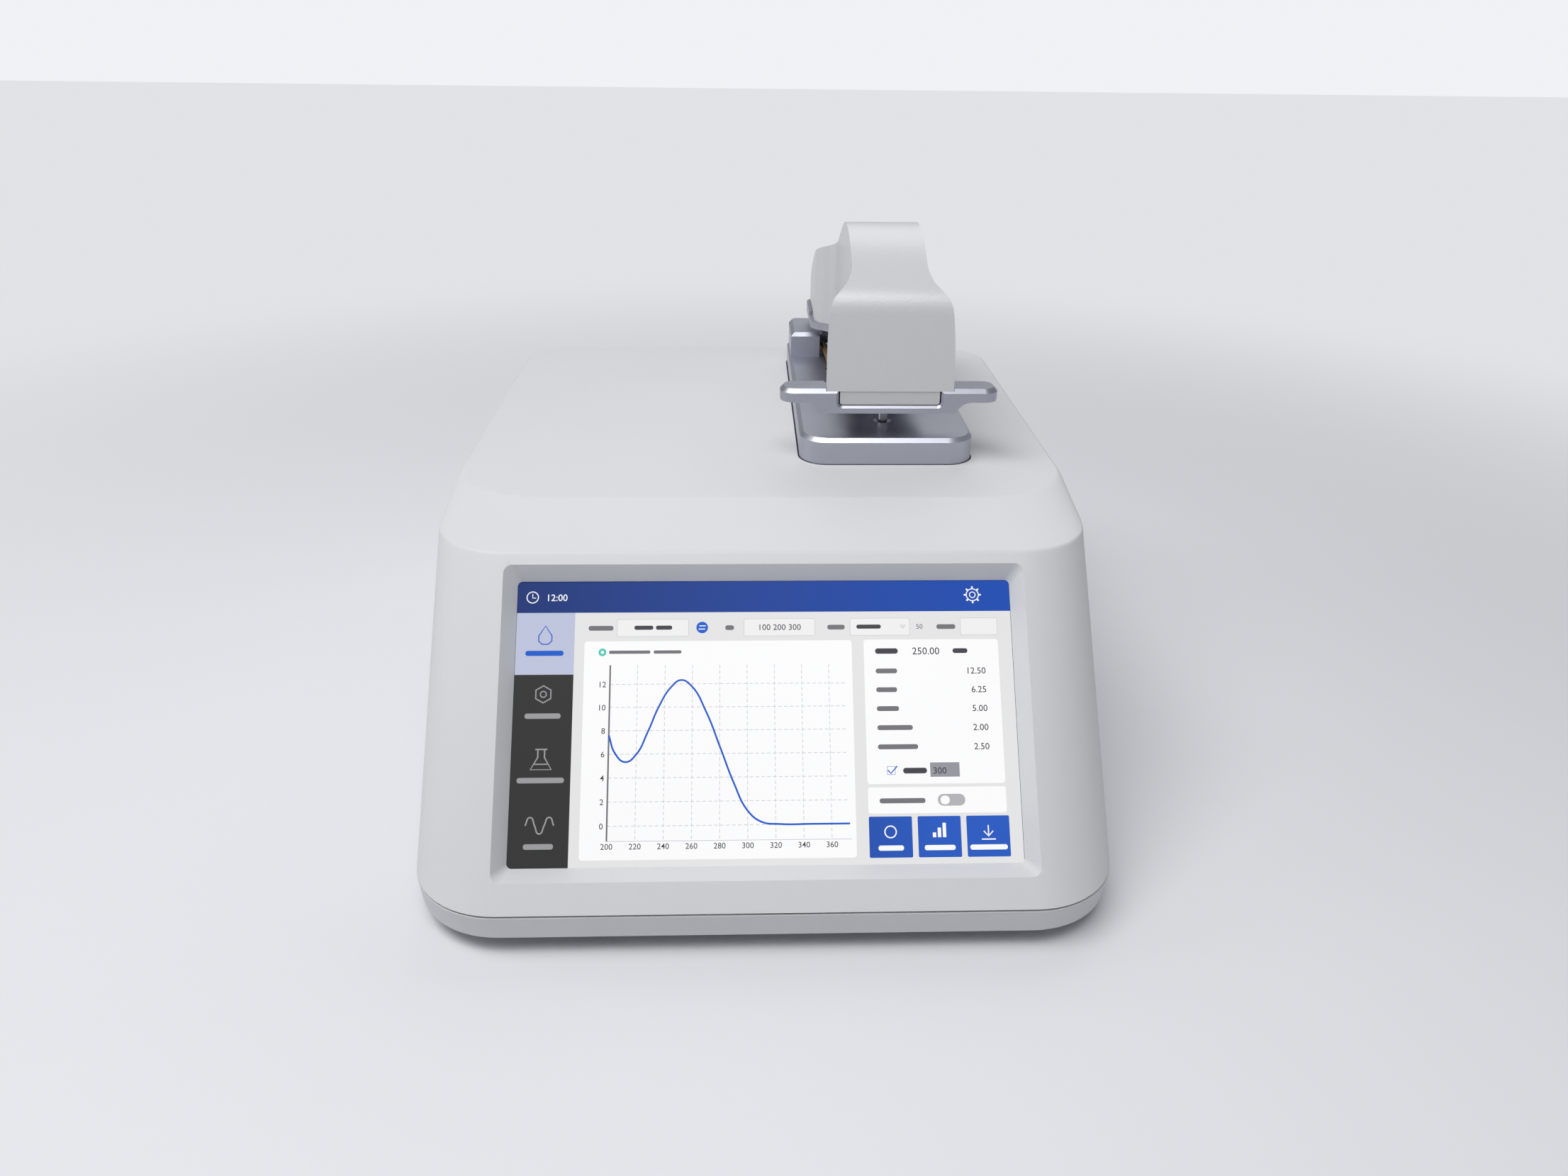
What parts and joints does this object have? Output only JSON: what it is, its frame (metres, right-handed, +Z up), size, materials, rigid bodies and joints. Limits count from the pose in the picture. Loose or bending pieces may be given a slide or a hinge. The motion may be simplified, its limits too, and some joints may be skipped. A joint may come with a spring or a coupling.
{
  "type": "micro-volume spectrophotometer",
  "caption": "Bench-top micro-volume spectrophotometer with a leaning touch screen and a white swing-up optical arm on a satin aluminium plinth.",
  "frame": {"origin": "on the table under the middle of the instrument's box", "axes": "+Z up, +Y towards the rear panel, +X to the right as seen from the screen"},
  "size_m": [0.212, 0.29, 0.1782],
  "materials": {
    "housing_plastic": "fine satin texture",
    "base_plastic": "fine satin texture",
    "hood_plastic": "satin",
    "bead_blasted_aluminium": "satin, bead blasted",
    "machined_aluminium": "machined",
    "stainless_steel": "fine turned",
    "zinc_steel": "zinc plated",
    "display_glass": "gloss",
    "black_rubber": "matte",
    "black_plastic": "satin",
    "board_laminate": "solder-mask gloss",
    "amber_jacket": "smooth",
    "black_foam": "soft matte",
    "black_anodised": "satin anodised",
    "panel_grey": "satin",
    "brass_fitting": "turned",
    "magnet_nickel": "nickel plated",
    "bronze_bush": "sintered",
    "display_panel": "display film"
  },
  "bodies": {
    "base": {"upper_housing": "housing_plastic", "bottom_shell": "base_plastic", "feet": "black_rubber", "foot_screws": "zinc_steel", "housing_screws": "zinc_steel", "frame_screws": "zinc_steel", "board_screws": "zinc_steel", "small_screws": "zinc_steel", "glass_gasket": "black_foam", "touch_glass": "display_glass", "lcd_module": "display_panel", "display_bracket": "zinc_steel", "display_board": "board_laminate", "display_ribbon": "amber_jacket", "main_board": "board_laminate", "power_board": "board_laminate", "rear_panel": "panel_grey", "network_socket": "zinc_steel", "usb_sockets": "zinc_steel", "power_switch_body": "black_plastic", "power_socket": "black_plastic", "spectrometer_case": "black_anodised", "spectrometer_optics": "display_glass", "spectrometer_lid": "black_anodised", "detector_board": "board_laminate", "xenon_lamp": "black_anodised", "fibre_couplings": "brass_fitting", "source_fibre": "black_plastic", "return_fibre": "black_plastic", "optics_frame": "machined_aluminium", "arm_plinth": "bead_blasted_aluminium", "plinth_gasket": "black_foam", "lower_pedestal": "stainless_steel", "pedestal_seal": "black_rubber", "path_motor_body": "zinc_steel", "arm_sensor": "board_laminate", "hinge_block_left": "bead_blasted_aluminium", "hinge_block_right": "bead_blasted_aluminium", "hinge_shaft": "stainless_steel", "shaft_caps": "stainless_steel", "hinge_set_screws": "stainless_steel", "friction_washers": "stainless_steel", "hinge_block_screws": "zinc_steel", "arm_stop_pad": "black_rubber", "arm_lead": "amber_jacket"},
    "arm": {"arm_hood": "hood_plastic", "arm_chassis": "bead_blasted_aluminium", "arm_handle": "bead_blasted_aluminium", "handle_screws": "stainless_steel", "hood_screws": "stainless_steel", "locating_pin": "stainless_steel", "arm_fibre": "black_plastic", "fibre_gland": "black_rubber", "upper_pedestal": "stainless_steel", "pedestal_nut": "stainless_steel", "arm_magnet": "magnet_nickel", "hinge_bushes": "bronze_bush"},
    "power_rocker": {"power_rocker": "black_plastic"},
    "path_plunger": {"path_plunger": "stainless_steel"},
    "path_rotor": {"path_motor_rotor": "zinc_steel"}
  },
  "joints": [
    {"name": "arm_hinge", "type": "hinge", "parent": "base", "child": "arm", "pos_m": [0.0443, 0.114, 0.1183], "axis": [-1, 0, 0], "range_deg": [0, 75]},
    {"name": "power_rocker_hinge", "type": "hinge", "parent": "base", "child": "power_rocker", "pos_m": [0.056, 0.1384, 0.044], "axis": [1, 0, 0], "range_deg": [-8, 8]},
    {"name": "path_drive", "type": "slide", "parent": "base", "child": "path_plunger", "axis": [0, 0, 1], "range_m": [-0.00095, 0]},
    {"name": "path_rotor_turn", "type": "hinge", "parent": "base", "child": "path_rotor", "pos_m": [0.0443, 0.0053, 0.078], "axis": [0, 0, 1], "range_deg": [-280.4, 0]}
  ],
  "couplings": [
    {"joint": "path_rotor_turn", "follows": "path_drive", "rad_per_m": 5150.1}
  ]
}
